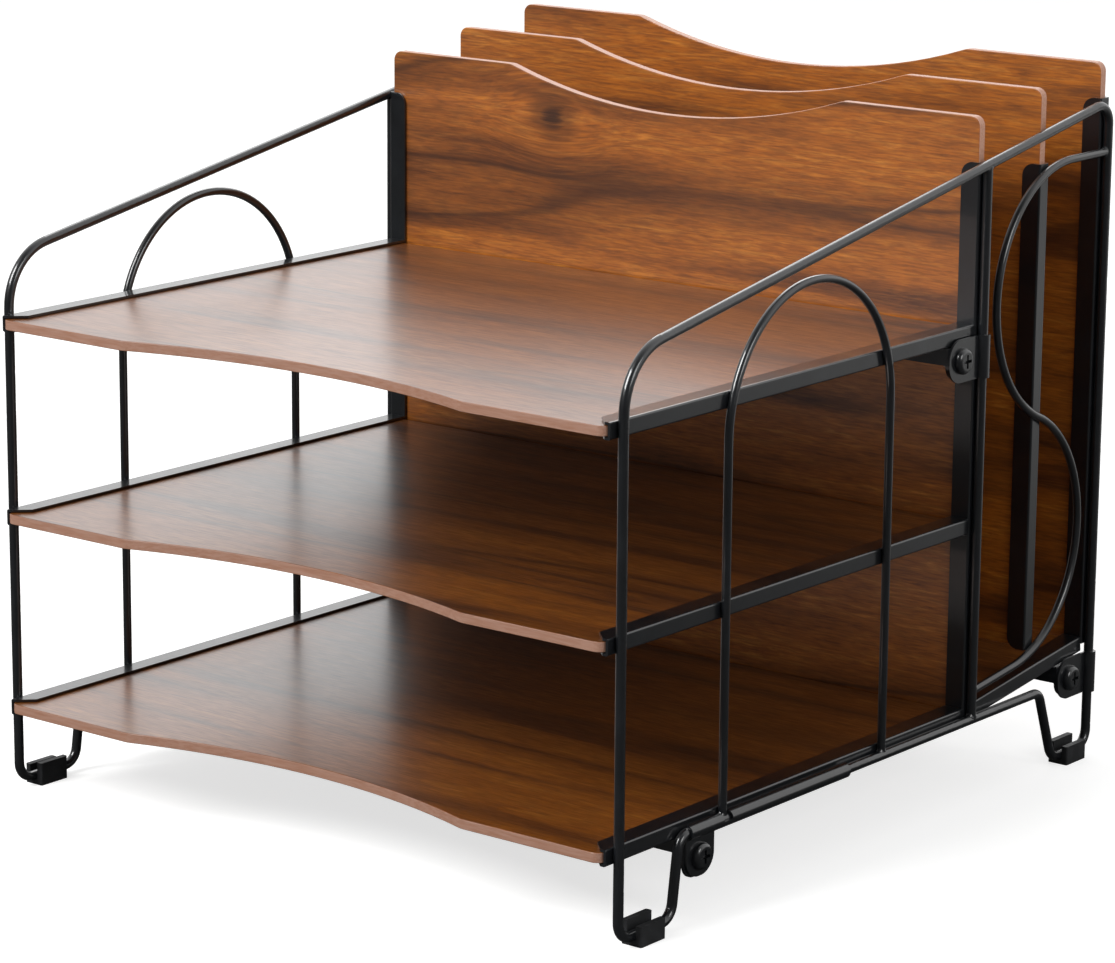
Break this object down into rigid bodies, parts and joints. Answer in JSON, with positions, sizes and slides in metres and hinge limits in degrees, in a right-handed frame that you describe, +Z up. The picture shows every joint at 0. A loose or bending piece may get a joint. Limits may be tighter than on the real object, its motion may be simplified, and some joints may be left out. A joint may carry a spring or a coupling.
{
  "type": "tiered document organizer",
  "caption": "Desk organizer with wire side frames, stacked open letter trays in front and upright file slots stepping up behind, all with slide-in wood-look boards.",
  "frame": {"origin": "on the desk surface under the middle of the overall box", "axes": "+X across to the right seen from the front, +Y from the tray mouths back to the sorter, +Z up"},
  "size_m": [0.319, 0.3358, 0.294],
  "materials": {
    "black_powder_coat": "semi-gloss black powder coat on steel wire and folded sheet",
    "walnut_laminate": "satin walnut-look laminate on fibreboard",
    "black_rubber": "matt moulded rubber",
    "zinc_steel": "zinc-plated steel"
  },
  "bodies": {
    "frame": {"clip_nuts": "zinc_steel", "clip_screws": "black_powder_coat", "front_cross_bar": "black_powder_coat", "left_arch_wire": "black_powder_coat", "left_bottom_tray_rail": "black_powder_coat", "left_front_clip": "black_powder_coat", "left_front_foot_pad": "black_rubber", "left_front_sorter_channel": "black_powder_coat", "left_middle_clip": "black_powder_coat", "left_middle_post": "black_powder_coat", "left_middle_sorter_channel": "black_powder_coat", "left_middle_tray_rail": "black_powder_coat", "left_outer_loop": "black_powder_coat", "left_rear_clip": "black_powder_coat", "left_rear_foot_pad": "black_rubber", "left_rear_sorter_channel": "black_powder_coat", "left_s_curve_wire": "black_powder_coat", "left_sorter_floor_channel": "black_powder_coat", "left_top_tray_rail": "black_powder_coat", "middle_cross_bar": "black_powder_coat", "rear_cross_bar": "black_powder_coat", "right_arch_wire": "black_powder_coat", "right_bottom_tray_rail": "black_powder_coat", "right_front_clip": "black_powder_coat", "right_front_foot_pad": "black_rubber", "right_front_sorter_channel": "black_powder_coat", "right_middle_clip": "black_powder_coat", "right_middle_post": "black_powder_coat", "right_middle_sorter_channel": "black_powder_coat", "right_middle_tray_rail": "black_powder_coat", "right_outer_loop": "black_powder_coat", "right_rear_clip": "black_powder_coat", "right_rear_foot_pad": "black_rubber", "right_rear_sorter_channel": "black_powder_coat", "right_s_curve_wire": "black_powder_coat", "right_sorter_floor_channel": "black_powder_coat", "right_top_tray_rail": "black_powder_coat", "sorter_floor_board": "walnut_laminate"},
    "bottom_tray": {"bottom_tray_board": "walnut_laminate"},
    "middle_tray": {"middle_tray_board": "walnut_laminate"},
    "top_tray": {"top_tray_board": "walnut_laminate"},
    "front_sorter": {"front_sorter_board": "walnut_laminate"},
    "middle_sorter": {"middle_sorter_board": "walnut_laminate"},
    "rear_sorter": {"rear_sorter_board": "walnut_laminate"}
  },
  "joints": [
    {"name": "bottom_tray_slide", "type": "slide", "parent": "frame", "child": "bottom_tray", "axis": [0, -1, 0], "range_m": [0, 0.24]},
    {"name": "middle_tray_slide", "type": "slide", "parent": "frame", "child": "middle_tray", "axis": [0, -1, 0], "range_m": [0, 0.24]},
    {"name": "top_tray_slide", "type": "slide", "parent": "frame", "child": "top_tray", "axis": [0, -1, 0], "range_m": [0, 0.24]},
    {"name": "front_sorter_lift", "type": "slide", "parent": "frame", "child": "front_sorter", "axis": [0, 0, 1], "range_m": [0, 0.233]},
    {"name": "middle_sorter_lift", "type": "slide", "parent": "frame", "child": "middle_sorter", "axis": [0, 0, 1], "range_m": [0, 0.206]},
    {"name": "rear_sorter_lift", "type": "slide", "parent": "frame", "child": "rear_sorter", "axis": [0, 0, 1], "range_m": [0, 0.234]}
  ]
}
